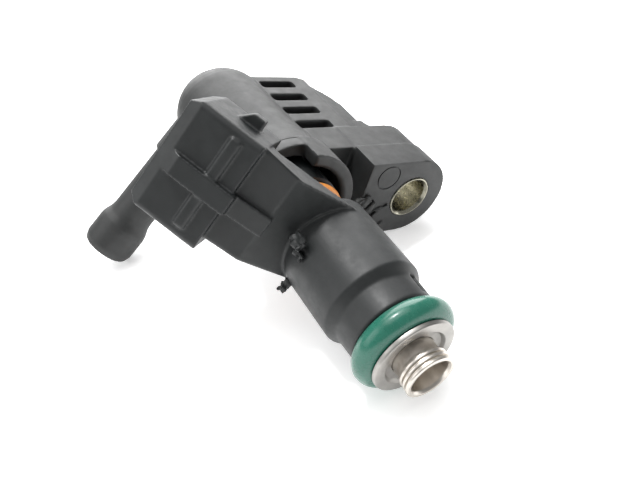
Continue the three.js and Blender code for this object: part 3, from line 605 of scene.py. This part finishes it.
def makeBarb():
    turn = math.radians(barb["turn"])
    drop = math.radians(barb["drop"])
    aim = Vector((math.cos(turn) * math.cos(drop), math.sin(turn) * math.cos(drop), -math.sin(drop)))
    matrix = Matrix.Translation((0, 0, barb["height"])) @ aim.to_track_quat("Z", "Y").to_matrix().to_4x4()
    stem = turnPiece("stem", [
        (4.25, 0), (4.25, 11.9), (4.15, 12.1), (3.75, 12.3), (3.72, 24.6), (3.85, 25.6), (4.35, 27.0),
        (4.48, 27.9), (4.48, 31.8), (4.16, 32.8), (4.05, 33.0),
    ], 96)
    passage = turnPiece("passage", [(2.3, 0), (2.3, 32.2), (2.75, 33.0), (3.9, 35)], 64)
    place(stem, matrix)
    place(passage, matrix)
    return stem, passage


def makeFeedCap():
    c = cap
    profile = list(c["outline"]) + [(c["radius"], c["domeAt"])]
    for step in range(1, 12):
        angle = step / 12 * math.pi / 2
        profile.append((c["radius"] * math.cos(angle), c["domeAt"] + c["dome"] * math.sin(angle)))
    body = turnPiece("feedCap", profile, 120)
    collar = turnPiece("collar", [(c["collar"], c["collarEnd"]), (c["collar"] - 0.1, c["seam"])], 120)
    keep = cutBlock("keep", (0.3, -12, 30), (12, 12, 45))
    combine(collar, [keep], "INTERSECT")
    roundEdges(collar, 0.15, 2)
    stem, passage = makeBarb()
    combine(body, [collar] + makeWeb() + makeBossBlock() + [stem], "UNION")
    hollow = turnPiece("hollow", [
        (c["cupBore"] + 0.5, 30), (c["cupBore"] + 0.5, c["collarEnd"]), (c["cupBore"], c["collarEnd"] + 0.5),
        (c["cupBore"], c["cupTop"]), (c["chamber"], c["chamberFrom"]), (c["chamber"], c["chamberTop"]),
        c["chamberEnd"],
    ], 96)
    boltHole = turnPiece("boltHole", [(c["bossHole"], 28), (c["bossHole"], 48)], 96)
    place(boltHole, Matrix.Translation((c["bossOut"], 0, 0)))
    combine(body, [hollow, passage, boltHole], "DIFFERENCE")
    for pocket in range(4):
        rib = c["pocketPitch"] - c["pocketHigh"]
        low = c["pocketMiddle"] + (pocket - 0.5) * c["pocketPitch"] + rib / 2
        for face in (-1, 1):
            near, far = sorted((face * (c["webHigh"] - c["pocketDeep"]), face * (c["webHigh"] + 3)))
            hole = cutBlock("pocket", (c["pocketFrom"], near, low),
                            (c["pocketTo"], far, low + c["pocketHigh"]))
            roundEdges(hole, 0.6, 3)
            combine(body, [hole], "DIFFERENCE")
    melt(body, 0.22, 1)
    applyModifier(body, "DECIMATE", ratio=0.55)
    # fine marks: the ejector ring on the boss and the mould's split line round the cup and over the boss
    ejector = turnPiece("ejector", [(1.98, 32.2), (2.2, 32.2), (2.2, 32.66), (1.98, 32.66), (1.98, 32.2)], 64)
    place(ejector, Matrix.Translation((15.4, -4.4, 0)))
    split = turnPiece("split", [(8.9, 38.1), (9.7, 38.1), (9.7, 38.26), (8.9, 38.26), (8.9, 38.1)], 120)
    half = cutBlock("keep", (-8, -12, 37), (7.3, -3.5, 39))
    combine(split, [half], "INTERSECT")
    bossLine = cutBlock("bossLine", (11.0, -9, 37.82), (26, -6.7, 38.04))
    combine(body, [ejector, split, bossLine], "DIFFERENCE")
    finishPiece(body, "cap", capPlastic, ["feed_cap"], 40)


def makeBossFlash():
    spots = [((11.9, -0.2, 32.6), (1.6, 2.4, 1.5), 50), ((13.2, 1.4, 32.5), (1.0, 3.2, 1.1), 35),
             ((14.8, 3.2, 32.5), (0.8, 3.2, 0.8), 42), ((16.9, 5.2, 32.5), (0.5, 2.4, 0.6), 50),
             ((15.9, 1.6, 32.45), (0.4, 2.8, 0.5), 75)]
    bits = [roughBit("flash", middle, size, turn, 0.8) for middle, size, turn in spots]
    piece = bits[0]
    piece.name = "bossFlash"
    combine(piece, bits[1:])
    finishPiece(piece, "cap", capPlastic, angle=30)


bush = {"inner": 3.21, "outer": 3.74, "low": 32.36, "high": 44.14}


def makeBossBush():
    b = bush
    profile = [(b["inner"], b["low"] + 0.5), (b["inner"] + 0.26, b["low"] + 0.08),
               (b["inner"] + 0.34, b["low"]),
               (b["outer"] - 0.08, b["low"]), (b["outer"], b["low"] + 0.08), (b["outer"], b["high"] - 0.08),
               (b["outer"] - 0.08, b["high"]), (b["inner"] + 0.34, b["high"]),
               (b["inner"] + 0.26, b["high"] - 0.08),
               (b["inner"], b["high"] - 0.5), (b["inner"], b["low"] + 0.5)]
    piece = turnPiece("bossBush", profile, 128)
    place(piece, Matrix.Translation((cap["bossOut"], 0, 0)))
    finishPiece(piece, "cap", zincSteel, ["boss_bush"], 28)


makeFeedCap()
makeBossFlash()
makeBossBush()

# inner pieces keep their turned shape and get their metal
innerFinishes = {
    "spacer_ring": bodyPlastic, "inlet_tube": brightSteel,
    "inlet_filter": brassBasket, "adjusting_sleeve": brightSteel, "coil_bobbin": bobbinPlastic,
    "coil_winding": copperWire, "magnet_housing": magnetSteel, "flux_washer": magnetSteel,
    "spacer_sleeve": brightSteel, "valve_seat": brightSteel, "orifice_plate": brightSteel,
    "armature": magnetSteel, "needle_tube": brightSteel, "valve_ball": brightSteel,
    "return_spring": brightSteel,
}
for nodeName, material in innerFinishes.items():
    node = frame["nodes"][nodeName]
    node.data.materials.clear()
    node.data.materials.append(material)
print("inner pieces finished")

# floor, light and camera
pickNothing()
bpy.ops.mesh.primitive_plane_add(size=4, location=(0, 0, 0))
floor = bpy.context.object
floor.name = "floor"
floorMaterial, floorTree, floorShader = newMaterial("paper")
paperPoints = objectPoints(floorTree)
paperCloud = addNoise(floorTree, paperPoints, 0.02, 3, 0.5)
paperColour = addRamp(floorTree, paperCloud, [(0.3, (0.86, 0.86, 0.86)), (0.7, (0.88, 0.88, 0.88))])
floorTree.links.new(paperColour, floorShader.inputs["Base Color"])
floorShader.inputs["Roughness"].default_value = 0.9
floorShader.inputs["Emission Color"].default_value = (1, 1, 1, 1)
floorShader.inputs["Emission Strength"].default_value = 0.45
floor.data.materials.append(floorMaterial)

world = bpy.data.worlds.new("studio")
world.use_nodes = True
world.node_tree.nodes["Background"].inputs["Color"].default_value = (1, 1, 1, 1)
world.node_tree.nodes["Background"].inputs["Strength"].default_value = 0.3
bpy.context.scene.world = world
bpy.context.scene.view_settings.view_transform = "Standard"


def softBox(name, location, target, size, power):
    lampData = bpy.data.lights.new(name, "AREA")
    lampData.shape = "RECTANGLE"
    lampData.size = size[0]
    lampData.size_y = size[1]
    lampData.energy = power
    lamp = bpy.data.objects.new(name, lampData)
    lamp.location = location
    lamp.rotation_euler = (Vector(target) - Vector(location)).to_track_quat("-Z", "Y").to_euler()
    bpy.context.collection.objects.link(lamp)


softBox("smallTop", (0.07, 0.03, 0.6), (0, 0, 0), (0.07, 0.07), 2.2)
softBox("wideTop", (0.0, 0.0, 0.55), (0, 0, 0), (0.5, 0.5), 1.7)
softBox("backPanel", (0.36, -0.14, 0.27), (0, 0, 0.02), (0.6, 0.4), 3.9)
softBox("leftPanel", (0.07, 0.38, 0.24), (0, 0, 0.02), (0.35, 0.3), 0.7)

cameraView = {"focal": 642.743, "width": 640}
cameraTurn = Matrix(((0.8240, -0.1307, 0.5514), (-0.2720, 0.7623, 0.5872), (-0.4971, -0.6338, 0.5926)))
cameraPlace = -(cameraTurn @ Vector((13.1047, 16.2671, 75.5301)))
cameraAxes = Matrix((cameraTurn.col[0], -cameraTurn.col[1], -cameraTurn.col[2])).transposed().to_4x4()
cameraAxes.translation = cameraPlace
upright = layDown @ cameraAxes
spot = upright.translation.copy()
upright = upright.to_3x3().normalized().to_4x4()
cameraData = bpy.data.cameras.new("camera")
cameraData.sensor_width = 36
cameraData.lens = cameraView["focal"] / cameraView["width"] * cameraData.sensor_width
cameraData.clip_start = 0.005
camera = bpy.data.objects.new("camera", cameraData)
camera.matrix_world = Matrix.Translation(spot) @ upright
bpy.context.collection.objects.link(camera)
bpy.context.scene.camera = camera
print("floor, light and camera ready")
